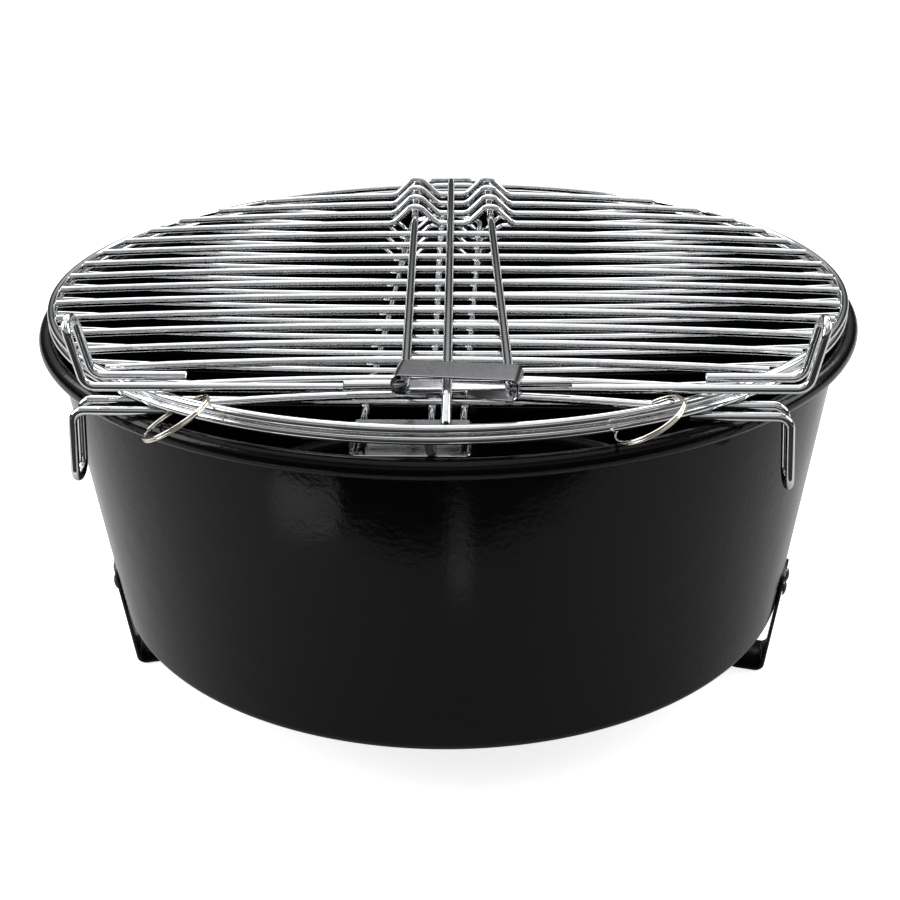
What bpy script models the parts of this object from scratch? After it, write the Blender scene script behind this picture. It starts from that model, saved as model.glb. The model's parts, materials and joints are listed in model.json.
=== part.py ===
"""Portable fire bowl with a folding double wire grid lying on its rim.

Metres, +Z up, feet on Z = 0, front of the object towards -Y.
The grid is drawn in its own frame: X right, Y back, Z away from the face where its two halves meet.
One empty places that frame on the rim, a little lower at the back than at the front.
"""

import math

import bmesh
import bpy
from mathutils import Matrix, Vector

# Gap between touching pieces
GAP = 0.0003

# Fire bowl: pressed sheet, with a rim rolled outwards
RIM_RADIUS = 0.1934
ROLL_RADIUS = 0.0042
ROLL_CENTRE = RIM_RADIUS - ROLL_RADIUS
RIM_TOP = 0.1785
BOWL_BASE = 0.030
BASE_RADIUS = 0.1690
CORNER_RADIUS = 0.007
SHEET = 0.0012
TURN_STEPS = 48

# Legs: azimuth in degrees from the front (-Y) towards +X
LEG_AZIMUTHS = {"left": -75.0, "right": 75.0, "rear": 180.0}
LEG_WIDTH = 0.027
LEG_SHEET = 0.0015
LEG_TOP = 0.053
FOOT_LENGTH = 0.017
FOOT_BEND = 0.004

# Rivets: two side by side through each leg and the wall
RIVET_HEIGHT = 0.0455
RIVET_SIDE = 0.0065
RIVET_HEAD_RADIUS = 0.0036
RIVET_HEAD_HEIGHT = 0.0015
RIVET_SHANK_RADIUS = 0.0020

# Grid placed on the rim
GRID_CENTRE_Y = -0.0007
GRID_CENTRE_Z = RIM_TOP + 0.0058
GRID_TILT = -0.0156

# Grid wires
RING_RADIUS = 0.1860
RING_WIRE = 0.0019
BAR_WIRE = 0.00175
STAND_WIRE = 0.0018
HANDLE_WIRE = 0.0019
RING_LEVEL = RING_WIRE + GAP / 2
RING_STEPS = 56

# Bars: straight wires that bow away from the meeting face towards their middle
BAR_COUNT = 16
BAR_PITCH = 0.0209
BAR_FIRST_Y = 0.1465
BAR_LAST_Y = -0.1630
BAR_END_LEVEL = 0.0026
BAR_MID_LEVEL = 0.0065
BOW_STEPS = 6

# The rearmost bars are looped over the legs of the sliding handle
LOOP_BARS = 4
LOOP_HALF_FOOT = 0.0120
LOOP_HALF_TOP = 0.0023
LOOP_BEND = 0.0030

# Stand wires: one long wire with an upright hairpin at each end
STAND_LEVEL = RING_LEVEL + RING_WIRE + GAP + STAND_WIRE
STAND_BEND = 0.0055

# Sleeves: flat sheet tubes that join the two ends of each handle
SLEEVE_SHEET = 0.0008
SLEEVE_BOTTOM = BAR_MID_LEVEL + BAR_WIRE + GAP
SLEEVE_HEIGHT = 0.0090
SLEEVE_WIDTH = 0.0485
SLEEVE_DEPTH = 0.0165
SLEEVE_EDGE_RADIUS = 0.0032
NOTCH_RADIUS = 0.0045
SLEEVE_TURN = -9.0

# Sliding handles, and the fixed centre rods between their legs
HANDLE_LEVEL = SLEEVE_BOTTOM + SLEEVE_SHEET + GAP + HANDLE_WIRE
HANDLE_HALF_WIDTH = 0.0200
HANDLE_ARCH_Y = 0.1620
HANDLE_ARCH_BEND = 0.0150
HANDLE_BEND = 0.0040
STUB_REACH = 0.0190
STUB_CLEARANCE = 0.0004
LOOP_LEVEL = HANDLE_LEVEL + HANDLE_WIRE + GAP + BAR_WIRE
ROD_REAR_Y = HANDLE_ARCH_Y - 2 * HANDLE_WIRE - 4 * GAP
ROD_BEND_Y = -0.1745
ROD_BEND = 0.0035

# The two halves. Places are in the grid frame, yaws in degrees about its Z
HALVES = {
    "upper": {
        "side": 1, "bars": 16, "rod_x": 0.0011, "rod_yaw": 2.05, "handle_x": 0.0032, "handle_yaw": 2.7,
        "sleeve_y": -0.1643, "stand_x": 0.0049, "stand_half": 0.1397, "stand_front": -0.1543,
        "stand_back": -0.1422, "stand_cut": 0.1020, "stand_yaw": 0.0, "stand_lean": 0.0055,
        "stand_height": 0.0260,
    },
    "lower": {
        "side": -1, "bars": 14, "rod_x": -0.0051, "rod_yaw": 1.9, "handle_x": -0.0074, "handle_yaw": 0.0,
        "sleeve_y": -0.1592, "stand_x": -0.0017, "stand_half": 0.1409, "stand_front": -0.1394,
        "stand_back": -0.1510, "stand_cut": 0.1020, "stand_yaw": -0.7, "stand_lean": 0.0020,
        "stand_height": 0.0310,
    },
}

# Split rings that hold the two halves together: centre, and the turn and rise of their axis
SPLIT_RINGS = {
    "left": {"centre": (-0.09676, -0.16822, 0.1852), "azimuth": 175.6, "rise": 60.7},
    "right": {"centre": (0.0832, -0.17092, 0.18678), "azimuth": 176.7, "rise": 59.7},
}
SPLIT_RADIUS = 0.0145
SPLIT_WIRE = 0.0011
SPLIT_STEPS = 24


def clear_scene():
    for obj in list(bpy.data.objects):
        bpy.data.objects.remove(obj, do_unlink=True)


def make_material(name, colour, metallic, roughness):
    material = bpy.data.materials.new(name)
    material.use_nodes = True
    shader = material.node_tree.nodes["Principled BSDF"]
    shader.inputs["Base Color"].default_value = (*colour, 1.0)
    shader.inputs["Metallic"].default_value = metallic
    shader.inputs["Roughness"].default_value = roughness
    return material


def make_empty(name, parent=None):
    empty = bpy.data.objects.new(name, None)
    bpy.context.scene.collection.objects.link(empty)
    empty.parent = parent
    return empty


def place(obj, parent, material):
    bpy.context.scene.collection.objects.link(obj)
    obj.parent = parent
    if material:
        obj.data.materials.append(material)
    return obj


def mesh_object(name, bm, parent, material):
    bmesh.ops.recalc_face_normals(bm, faces=bm.faces)
    mesh = bpy.data.meshes.new(name)
    bm.to_mesh(mesh)
    bm.free()
    mesh.shade_smooth()
    mesh.set_sharp_from_angle(angle=math.radians(35))
    return place(bpy.data.objects.new(name, mesh), parent, material)


def wire(name, points, radius, parent, material, closed=False, sides=6):
    """A round wire along points, with flat cut ends, or closed on itself."""
    curve = bpy.data.curves.new(name, "CURVE")
    curve.dimensions = "3D"
    curve.bevel_depth = radius
    curve.bevel_resolution = sides // 2 - 2
    curve.use_fill_caps = not closed
    spline = curve.splines.new("POLY")
    spline.points.add(len(points) - 1)
    spline.use_cyclic_u = closed
    spline.use_smooth = True
    for point, position in zip(spline.points, points):
        point.co = (*position, 1.0)
    return place(bpy.data.objects.new(name, curve), parent, material)


def bent(corners, radius, steps=4):
    """The corners joined by straight runs, with each inner corner rounded to radius."""
    path = [Vector(corners[0])]
    for before, corner, after in zip(corners, corners[1:], corners[2:]):
        corner = Vector(corner)
        to_before = (Vector(before) - corner).normalized()
        to_after = (Vector(after) - corner).normalized()
        half_angle = to_before.angle(to_after) / 2
        reach = radius / math.tan(half_angle)
        centre = corner + (to_before + to_after).normalized() * (radius / math.sin(half_angle))
        start = corner + to_before * reach - centre
        axis = to_after.cross(to_before)
        for step in range(steps + 1):
            turn = (math.pi - 2 * half_angle) * step / steps
            path.append(centre + Matrix.Rotation(turn, 3, axis) @ start)
    path.append(Vector(corners[-1]))
    return path


def arc(centre, radius, start, end, steps):
    """Points of an arc about centre, angles in degrees."""
    points = []
    for step in range(steps + 1):
        angle = math.radians(start + (end - start) * step / steps)
        points.append((centre[0] + radius * math.cos(angle), centre[1] + radius * math.sin(angle)))
    return points


def turned(profile, steps, phase=0.0):
    """The solid swept by a (radius, height) outline that starts and ends on the Z axis."""
    bm = bmesh.new()
    rows = []
    for step in range(steps):
        angle = 2 * math.pi * (step + phase) / steps
        c, s = math.cos(angle), math.sin(angle)
        rows.append([bm.verts.new((r * c, r * s, z)) for r, z in profile])
    for row, following in zip(rows, rows[1:] + rows[:1]):
        for i in range(len(profile) - 1):
            if profile[i][0] == 0.0:
                bm.faces.new((row[i], row[i + 1], following[i + 1]))
            elif profile[i + 1][0] == 0.0:
                bm.faces.new((row[i], row[i + 1], following[i]))
            else:
                bm.faces.new((row[i], row[i + 1], following[i + 1], following[i]))
    bmesh.ops.remove_doubles(bm, verts=bm.verts, dist=1e-6)
    return bm


def cut(target, name, cutter):
    """Takes the cutter, a mesh in the target's own parent frame, out of the target."""
    cutter.name = name
    cutter.hide_render = True
    cutter.display_type = "WIRE"
    modifier = target.modifiers.new(name, "BOOLEAN")
    modifier.operation = "DIFFERENCE"
    modifier.solver = "EXACT"
    modifier.object = cutter


def cylinder(name, radius, length, matrix, parent, sides=16):
    """A closed round bar about the Z axis of matrix, used as a cutter."""
    profile = [(0.0, -length / 2), (radius, -length / 2), (radius, length / 2), (0.0, length / 2)]
    bar = mesh_object(name, turned(profile, sides, 0.5), parent, None)
    bar.matrix_local = matrix
    return bar


def wall_radius(height):
    """Outer radius of the tapered wall at a height."""
    top = (ROLL_CENTRE - ROLL_RADIUS + SHEET, RIM_TOP - ROLL_RADIUS)
    low = (BASE_RADIUS, BOWL_BASE + CORNER_RADIUS)
    return low[0] + (top[0] - low[0]) * (height - low[1]) / (top[1] - low[1])


def flat_radius(height):
    """Distance from the axis to the middle of one flat of the turned wall."""
    return wall_radius(height) * math.cos(math.pi / TURN_STEPS)


def make_bowl(material):
    roll = (ROLL_CENTRE, RIM_TOP - ROLL_RADIUS)
    corner = (BASE_RADIUS - CORNER_RADIUS, BOWL_BASE + CORNER_RADIUS)
    profile = [(0.0, BOWL_BASE)]
    profile += arc(corner, CORNER_RADIUS, -90, -7, 3)
    profile += arc(roll, ROLL_RADIUS - SHEET, 180, 0, 6)
    profile += arc(roll, ROLL_RADIUS - SHEET, -35, -100, 2)
    profile += arc(roll, ROLL_RADIUS, -100, -35, 2)
    profile += arc(roll, ROLL_RADIUS, 0, 180, 6)
    profile += arc(corner, CORNER_RADIUS - SHEET, -7, -90, 3)
    profile += [(0.0, BOWL_BASE + SHEET)]
    return mesh_object("fire_bowl", turned(profile, TURN_STEPS, 0.5), None, material)


def leg_frame(azimuth):
    """Turns +X to a leg's direction."""
    return Matrix.Rotation(math.radians(azimuth - 90), 4, "Z")


def make_leg(side, azimuth, material):
    """A sheet strip riveted to the wall, with its foot turned inwards."""
    out = LEG_SHEET / 2 + GAP
    top = (flat_radius(LEG_TOP) + out, 0.0, LEG_TOP)
    heel = (flat_radius(LEG_SHEET / 2) + out, 0.0, LEG_SHEET / 2)
    toe = (heel[0] - FOOT_LENGTH, 0.0, LEG_SHEET / 2)
    path = bent([top, heel, toe], FOOT_BEND)
    bm = bmesh.new()
    rows = []
    for i, point in enumerate(path):
        ahead = path[min(i + 1, len(path) - 1)] - path[max(i - 1, 0)]
        normal = Vector((ahead.z, 0.0, -ahead.x)).normalized() * (LEG_SHEET / 2)
        row = []
        for face, edge in ((1, -1), (1, 1), (-1, 1), (-1, -1)):
            across = Vector((0, LEG_WIDTH / 2 * edge, 0))
            row.append(bm.verts.new(point + normal * face + across))
        rows.append(row)
    bm.faces.new(rows[0])
    bm.faces.new(reversed(rows[-1]))
    for row, following in zip(rows, rows[1:]):
        for i in range(4):
            j = (i + 1) % 4
            bm.faces.new((row[i], following[i], following[j], row[j]))
    leg = mesh_object(f"leg_{side}", bm, None, material)
    leg.matrix_local = leg_frame(azimuth)
    return leg


def rivet_frame(azimuth, across):
    """Origin on the outside of the wall's flat, +Z out along the wall's normal."""
    slope = math.atan2(flat_radius(RIVET_HEIGHT + 0.01) - flat_radius(RIVET_HEIGHT), 0.01)
    seat = Matrix.Translation((flat_radius(RIVET_HEIGHT), across, RIVET_HEIGHT))
    return leg_frame(azimuth) @ seat @ Matrix.Rotation(math.pi / 2 + slope, 4, "Y")


def make_rivet(name, frame, material):
    outer = LEG_SHEET + 2 * GAP
    inner = -SHEET - GAP
    profile = [(0.0, inner - RIVET_HEAD_HEIGHT), (RIVET_HEAD_RADIUS * 0.7, inner - RIVET_HEAD_HEIGHT * 0.8)]
    profile += [(RIVET_HEAD_RADIUS, inner), (RIVET_SHANK_RADIUS, inner), (RIVET_SHANK_RADIUS, outer)]
    profile += [(RIVET_HEAD_RADIUS, outer), (RIVET_HEAD_RADIUS * 0.7, outer + RIVET_HEAD_HEIGHT * 0.8)]
    profile += [(0.0, outer + RIVET_HEAD_HEIGHT)]
    rivet = mesh_object(name, turned(profile, 12), None, material)
    rivet.matrix_local = frame
    return rivet


def make_base(enamel, leg_paint, rivet_steel):
    bowl = make_bowl(enamel)
    for side, azimuth in LEG_AZIMUTHS.items():
        leg = make_leg(side, azimuth, leg_paint)
        for label, across in (("a", -RIVET_SIDE), ("b", RIVET_SIDE)):
            frame = rivet_frame(azimuth, across)
            make_rivet(f"rivet_{side}_{label}", frame, rivet_steel)
            name = f"rivet_hole_{side}_{label}"
            hole = cylinder(name, RIVET_SHANK_RADIUS + GAP, 0.012, frame, None, 12)
            cut(bowl, name, hole)
            cut(leg, name, hole)
    return bowl


def sheared_x(place_x, yaw, y):
    """X at y of a line through (place_x, 0) turned by yaw degrees, positive towards +X at the front."""
    return place_x - math.tan(math.radians(yaw)) * y


def ring_points(side):
    points = []
    for step in range(RING_STEPS):
        angle = 2 * math.pi * (step + 0.5) / RING_STEPS
        points.append((RING_RADIUS * math.cos(angle), RING_RADIUS * math.sin(angle), side * RING_LEVEL))
    return points


def bar_points(half, number):
    """A bowed bar that butts the ring at both ends, looped where it holds the handle."""
    y = BAR_FIRST_Y - BAR_PITCH * number
    if number == BAR_COUNT - 1:
        y = BAR_LAST_Y
    inside = RING_RADIUS * math.cos(math.pi / RING_STEPS) - RING_WIRE - GAP
    end = math.sqrt(inside ** 2 - (abs(y) + BAR_WIRE) ** 2)
    rise = BAR_MID_LEVEL - BAR_END_LEVEL

    def level(x):
        return BAR_MID_LEVEL - rise * (x / end) ** 2

    if number >= LOOP_BARS:
        places = [end * (2 * step / BOW_STEPS - 1) for step in range(BOW_STEPS + 1)]
        return [(x, y, half["side"] * level(x)) for x in places]
    corners = [(-end, y, level(end)), (-end * 0.6, y, level(end * 0.6))]
    middle = sheared_x(half["handle_x"], half["handle_yaw"], y)
    for leg_x in (middle - HANDLE_HALF_WIDTH, middle + HANDLE_HALF_WIDTH):
        for x, z in (
            (leg_x - LOOP_HALF_FOOT, level(leg_x - LOOP_HALF_FOOT)),
            (leg_x - LOOP_HALF_TOP, LOOP_LEVEL),
            (leg_x + LOOP_HALF_TOP, LOOP_LEVEL),
            (leg_x + LOOP_HALF_FOOT, level(leg_x + LOOP_HALF_FOOT)),
        ):
            corners.append((x, y, z))
    corners += [(end * 0.6, y, level(end * 0.6)), (end, y, level(end))]
    return [(x, y, half["side"] * z) for x, y, z in bent(corners, LOOP_BEND, 1)]


def stand_points(half):
    """Cut end, inner wire, hairpin, long front wire, hairpin, inner wire, cut end."""
    front, back = half["stand_front"], half["stand_back"]
    half_length, lean = half["stand_half"], half["stand_lean"]
    top = STAND_LEVEL + half["stand_height"]
    right = [
        (half_length, front, STAND_LEVEL),
        (half_length + lean, front, top),
        (half_length + lean, back, top),
        (half_length, back, STAND_LEVEL),
        (half["stand_cut"], back, STAND_LEVEL),
    ]
    left = [(-x, y, z) for x, y, z in reversed(right)]
    middle = Vector((0.0, (front + back) / 2, 0.0))
    turn = Matrix.Rotation(math.radians(half["stand_yaw"]), 3, "Z")
    shift = Vector((half["stand_x"], 0.0, 0.0))
    points = []
    for point in bent(left + right, STAND_BEND):
        point = turn @ (point - middle) + middle + shift
        points.append((point.x, point.y, half["side"] * point.z))
    return points


def handle_frame(half):
    """The handle's own frame: legs along Y, turned by its yaw in the grid frame."""
    shift = Matrix.Translation((half["handle_x"], 0.0, 0.0))
    return shift @ Matrix.Rotation(math.radians(half["handle_yaw"]), 4, "Z")


def handle_points(half):
    """Stub, leg, rear arch, leg, stub."""
    level = half["side"] * HANDLE_LEVEL
    front = half["sleeve_y"]
    stub = SLEEVE_WIDTH / 2 + STUB_REACH
    left_end = bent(
        [(-stub, front, level), (-HANDLE_HALF_WIDTH, front, level), (-HANDLE_HALF_WIDTH, 0.0, level)],
        HANDLE_BEND,
    )
    arch = bent(
        [
            (-HANDLE_HALF_WIDTH, 0.0, level),
            (-HANDLE_HALF_WIDTH, HANDLE_ARCH_Y, level),
            (HANDLE_HALF_WIDTH, HANDLE_ARCH_Y, level),
            (HANDLE_HALF_WIDTH, 0.0, level),
        ],
        HANDLE_ARCH_BEND,
        5,
    )
    right_end = [Vector((-p.x, p.y, p.z)) for p in reversed(left_end)]
    path = left_end + arch[1:-1] + right_end
    return [handle_frame(half) @ p for p in path]


def rod_points(half):
    """From just inside the handle's arch to the front, then down onto the ring."""
    side = half["side"]
    rear = (sheared_x(half["rod_x"], half["rod_yaw"], ROD_REAR_Y), ROD_REAR_Y, side * HANDLE_LEVEL)
    bend_x = sheared_x(half["rod_x"], half["rod_yaw"], ROD_BEND_Y)
    bend = Vector((bend_x, ROD_BEND_Y, side * HANDLE_LEVEL))
    target = Vector((bend_x, -math.sqrt(RING_RADIUS ** 2 - bend_x ** 2), side * RING_LEVEL))
    reach = (target - bend).normalized() * (2 * RING_WIRE - RING_WIRE + 2 * GAP)
    return bent([rear, bend, target - reach], ROD_BEND)


def rounded_box(width, height, radius):
    """Outline of a flat tube's section, centred on the origin."""
    outline = []
    for sign_x, sign_z, start in ((1, 1, 0), (-1, 1, 90), (-1, -1, 180), (1, -1, 270)):
        centre = (sign_x * (width / 2 - radius), sign_z * (height / 2 - radius))
        outline += arc(centre, radius, start, start + 90, 3)
    return outline


def make_sleeve(name, half, parent, material):
    """Flat open tube over the handle's two ends, with side holes for the stubs and a front notch."""
    outer = rounded_box(SLEEVE_WIDTH, SLEEVE_HEIGHT, SLEEVE_EDGE_RADIUS)
    inner = rounded_box(
        SLEEVE_WIDTH - 2 * SLEEVE_SHEET, SLEEVE_HEIGHT - 2 * SLEEVE_SHEET, SLEEVE_EDGE_RADIUS - SLEEVE_SHEET
    )
    bm = bmesh.new()
    loops = []
    for outline, y in (
        (outer, -SLEEVE_DEPTH / 2), (outer, SLEEVE_DEPTH / 2), (inner, SLEEVE_DEPTH / 2), (inner, -SLEEVE_DEPTH / 2),
    ):
        loops.append([bm.verts.new((x, y, z)) for x, z in outline])
    for loop, following in zip(loops, loops[1:] + loops[:1]):
        for i in range(len(loop)):
            j = (i + 1) % len(loop)
            bm.faces.new((loop[i], loop[j], following[j], following[i]))
    sleeve = mesh_object(name, bm, parent, material)
    side = half["side"]
    level = side * (SLEEVE_BOTTOM + SLEEVE_HEIGHT / 2)
    centre = Matrix.Translation((0.0, half["sleeve_y"], level))
    turn = Matrix.Rotation(math.radians(SLEEVE_TURN if side > 0 else 0.0), 4, "Z")
    sleeve.matrix_local = handle_frame(half) @ centre @ turn
    stub_line = Matrix.Translation((0.0, half["sleeve_y"], side * HANDLE_LEVEL))
    stub_line = handle_frame(half) @ stub_line @ Matrix.Rotation(math.pi / 2, 4, "Y")
    stub_hole = cylinder(f"{name}_stub_hole", HANDLE_WIRE + STUB_CLEARANCE, 0.08, stub_line, parent)
    cut(sleeve, f"{name}_stub_hole", stub_hole)
    lip = Matrix.Translation((0.0, -SLEEVE_DEPTH / 2, -side * (SLEEVE_HEIGHT / 2)))
    notch = cylinder(f"{name}_notch", NOTCH_RADIUS, 2.5 * SLEEVE_SHEET, sleeve.matrix_local @ lip, parent, 20)
    cut(sleeve, f"{name}_notch", notch)
    return sleeve


def make_half(name, half, grid, chrome, sleeve_steel):
    """One wire half, with the sliding handle that it carries."""
    side = half["side"]
    fixed = make_empty(f"{name}_half", grid)
    moving = make_empty(f"{name}_handle_slide", fixed)
    wire(f"{name}_ring", ring_points(side), RING_WIRE, fixed, chrome, True, 8)
    for number in range(half["bars"]):
        wire(f"{name}_bar_{number + 1:02d}", bar_points(half, number), BAR_WIRE, fixed, chrome)
    wire(f"{name}_stand", stand_points(half), STAND_WIRE, fixed, chrome, False, 8)
    wire(f"{name}_rod", rod_points(half), HANDLE_WIRE, fixed, chrome, False, 8)
    wire(f"{name}_handle", handle_points(half), HANDLE_WIRE, moving, chrome, False, 8)
    make_sleeve(f"{name}_sleeve", half, moving, sleeve_steel)


def make_split_ring(side, ring, material):
    points = []
    for step in range(SPLIT_STEPS):
        angle = 2 * math.pi * step / SPLIT_STEPS
        points.append((SPLIT_RADIUS * math.cos(angle), SPLIT_RADIUS * math.sin(angle), 0.0))
    torus = wire(f"split_ring_{side}", points, SPLIT_WIRE, None, material, True, 8)
    axis_turn = Matrix.Rotation(math.radians(ring["azimuth"]), 4, "Z")
    axis_rise = Matrix.Rotation(math.radians(90 - ring["rise"]), 4, "Y")
    torus.matrix_local = Matrix.Translation(ring["centre"]) @ axis_turn @ axis_rise
    return torus


def main():
    clear_scene()
    enamel = make_material("black_enamel", (0.012, 0.012, 0.013), 0.0, 0.18)
    leg_paint = make_material("leg_black", (0.015, 0.015, 0.016), 0.0, 0.35)
    rivet_steel = make_material("rivet_black", (0.02, 0.02, 0.022), 0.3, 0.35)
    chrome = make_material("chrome_wire", (0.82, 0.82, 0.84), 1.0, 0.08)
    sleeve_steel = make_material("sleeve_chrome", (0.55, 0.55, 0.56), 1.0, 0.2)
    nickel = make_material("nickel_ring", (0.80, 0.77, 0.72), 1.0, 0.15)
    make_base(enamel, leg_paint, rivet_steel)
    grid = make_empty("grid")
    grid.location = (0.0, GRID_CENTRE_Y, GRID_CENTRE_Z)
    grid.rotation_euler.x = GRID_TILT
    for name, half in HALVES.items():
        make_half(name, half, grid, chrome, sleeve_steel)
    for side, ring in SPLIT_RINGS.items():
        make_split_ring(side, ring, nickel)
    bpy.context.view_layer.update()


main()
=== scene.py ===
"""Visual model of the fire bowl with its folding wire grid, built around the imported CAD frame."""

import json
import math

import bmesh
import bpy
from mathutils import Matrix, Vector


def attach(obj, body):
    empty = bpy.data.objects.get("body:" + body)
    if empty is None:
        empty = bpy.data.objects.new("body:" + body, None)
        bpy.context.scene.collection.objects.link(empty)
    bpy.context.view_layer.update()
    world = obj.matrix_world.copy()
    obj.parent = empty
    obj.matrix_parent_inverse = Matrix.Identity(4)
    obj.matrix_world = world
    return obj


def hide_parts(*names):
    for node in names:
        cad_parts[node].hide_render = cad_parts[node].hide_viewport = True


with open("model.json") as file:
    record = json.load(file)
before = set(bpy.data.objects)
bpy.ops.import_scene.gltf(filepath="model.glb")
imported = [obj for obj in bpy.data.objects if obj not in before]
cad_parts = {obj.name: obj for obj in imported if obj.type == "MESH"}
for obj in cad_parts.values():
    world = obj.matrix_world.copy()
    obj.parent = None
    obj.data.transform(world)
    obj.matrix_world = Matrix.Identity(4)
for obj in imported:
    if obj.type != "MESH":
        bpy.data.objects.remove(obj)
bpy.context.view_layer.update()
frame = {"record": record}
BODIES = frame["record"]["behaviour"]["bodies"]
BODY_OF = {node: body for body, nodes in BODIES.items() for node in nodes}
NODE_SLOT = {entry["node"]: entry["material_slot"] for entry in frame["record"]["subparts"]}

# ---- dimensions as in part.py, in metres and degrees; only LOOP_BEND is rounder here ----
GAP = 0.0003

RIM_RADIUS = 0.1934
ROLL_RADIUS = 0.0042
ROLL_CENTRE = RIM_RADIUS - ROLL_RADIUS
RIM_TOP = 0.1785
BOWL_BASE = 0.030
BASE_RADIUS = 0.1690
CORNER_RADIUS = 0.007
SHEET = 0.0012

LEG_AZIMUTHS = {"left": -75.0, "right": 75.0, "rear": 180.0}
LEG_WIDTH = 0.027
LEG_SHEET = 0.0015
LEG_TOP = 0.053
FOOT_LENGTH = 0.017
FOOT_BEND = 0.004
CAD_WALL_SIDES = 48
FLAT = math.cos(math.pi / CAD_WALL_SIDES)  # the CAD's wall is faceted: a facet's middle over its corner

RIVET_HEIGHT = 0.0455
RIVET_SIDE = 0.0065
RIVET_HEAD_RADIUS = 0.0036
RIVET_HEAD_HEIGHT = 0.0015
RIVET_SHANK_RADIUS = 0.0020

GRID_CENTRE_Y = -0.0007
GRID_CENTRE_Z = RIM_TOP + 0.0058
GRID_TILT = -0.0156
RING_RADIUS = 0.1860
RING_WIRE = 0.0019
BAR_WIRE = 0.00175
STAND_WIRE = 0.0018
HANDLE_WIRE = 0.0019
RING_LEVEL = RING_WIRE + GAP / 2

BAR_COUNT = 16
BAR_PITCH = 0.0209
BAR_FIRST_Y = 0.1465
BAR_LAST_Y = -0.1630
BAR_END_LEVEL = 0.0026
BAR_MID_LEVEL = 0.0065
LOOP_BARS = 4
LOOP_HALF_FOOT = 0.0120
LOOP_HALF_TOP = 0.0023
LOOP_BEND = 0.0058

STAND_LEVEL = RING_LEVEL + RING_WIRE + GAP + STAND_WIRE
STAND_BEND = 0.0055

SLEEVE_SHEET = 0.0008
SLEEVE_BOTTOM = BAR_MID_LEVEL + BAR_WIRE + GAP
SLEEVE_HEIGHT = 0.0090
SLEEVE_WIDTH = 0.0485
SLEEVE_DEPTH = 0.0165
SLEEVE_EDGE_RADIUS = 0.0032
NOTCH_RADIUS = 0.0045
SLEEVE_TURN = -9.0

HANDLE_LEVEL = SLEEVE_BOTTOM + SLEEVE_SHEET + GAP + HANDLE_WIRE
HANDLE_HALF_WIDTH = 0.0200
HANDLE_ARCH_Y = 0.1620
HANDLE_ARCH_BEND = 0.0150
HANDLE_BEND = 0.0040
STUB_REACH = 0.0190
LOOP_LEVEL = HANDLE_LEVEL + HANDLE_WIRE + GAP + BAR_WIRE
ROD_REAR_Y = HANDLE_ARCH_Y - 2 * HANDLE_WIRE - 4 * GAP
ROD_BEND_Y = -0.1745
ROD_BEND = 0.0035

HALVES = {
    "upper": {
        "side": 1, "bars": 16, "rod_x": 0.0011, "rod_yaw": 2.05, "handle_x": 0.0032, "handle_yaw": 2.7,
        "sleeve_y": -0.1643, "stand_x": 0.0049, "stand_half": 0.1397, "stand_front": -0.1543,
        "stand_back": -0.1422, "stand_cut": 0.1020, "stand_yaw": 0.0, "stand_lean": 0.0055,
        "stand_height": 0.0260,
    },
    "lower": {
        "side": -1, "bars": 14, "rod_x": -0.0051, "rod_yaw": 1.9, "handle_x": -0.0074, "handle_yaw": 0.0,
        "sleeve_y": -0.1592, "stand_x": -0.0017, "stand_half": 0.1409, "stand_front": -0.1394,
        "stand_back": -0.1510, "stand_cut": 0.1020, "stand_yaw": -0.7, "stand_lean": 0.0020,
        "stand_height": 0.0310,
    },
}
SPLIT_RINGS = {
    "left": {"centre": (-0.09676, -0.16822, 0.1852), "azimuth": 175.6, "rise": 60.7},
    "right": {"centre": (0.0832, -0.17092, 0.18678), "azimuth": 176.7, "rise": 59.7},
}
SPLIT_RADIUS = 0.0145
SPLIT_WIRE = 0.0011

# ---- how fine the visible meshes are, and their soft edges ----
TURN_STEPS = 288
RING_STEPS = 240
WIRE_SIDES = 20
WIRE_CHAMFER = 0.0004
BEND_STEPS = 10
STAND_BEND_STEPS = 12
ARCH_BEND_STEPS = 18
NEARLY_STRAIGHT = 1e-4
NEARLY_UPRIGHT = 0.9
WELD_DISTANCE = 1e-6
FINE_WELD_DISTANCE = 1e-7

# ---- bowl outline: the points along its base, its arcs in degrees and their steps ----
BASE_POINTS = (0.0, 0.06, 0.12)
WALL_FOOT_ANGLE = -7
CURL_END_ANGLE = -100
CORNER_STEPS = 12
CURL_STEPS = 30
ROLL_STEPS = 40
WALL_STEPS = 10

LEG_CORNER = 0.005
LEG_EDGE = 0.0003
LEG_STEP = 0.0012
RIVET_SLOPE_SPAN = 0.01
RIVET_STEPS = 36
DOME_STEPS = 10

BAR_STEP = 0.008
BAR_IN_RING = 0.9
BAR_IN_BAR = 0.4
LOOP_LEAD = 0.003
LOOP_RUN_STOP = 0.004

SLEEVE_EDGE = 0.00025
SLEEVE_CORNER_STEPS = 8
CUTTER_STEPS = 48
STUB_HOLE_ROOM = 0.0004
STUB_HOLE_LENGTH = 0.08
NOTCH_CUT_LENGTH = 2.5 * SLEEVE_SHEET

SPLIT_STEPS = 144
SPLIT_TURNS = 1.97
SPLIT_CROSSING = 6.0
SPLIT_COIL_FILL = 0.97
SPLIT_SIDES = 14
SPLIT_CHAMFER = 0.0001

# ---- looks: greys and tints are linear ----
FLOOR_HALF = 6.0
FLOOR_CELLS = 4
FLOOR_DROP = 0.0005
FLOOR_WHITE = (0.92, 0.92, 0.92)
FLOOR_IN_REFLECTIONS = (0.62, 0.62, 0.62)
FLOOR_GLOW = 0.80
FLAG_BLACK = (0.01, 0.01, 0.01)
SKY_BOTTOM = (0.0, 0.03)
SKY_TOP = (0.92, 0.22)
SKY_BANDS = ((0.22, 0.05), (0.38, 0.48), (0.50, 0.42), (0.72, 0.20))

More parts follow.
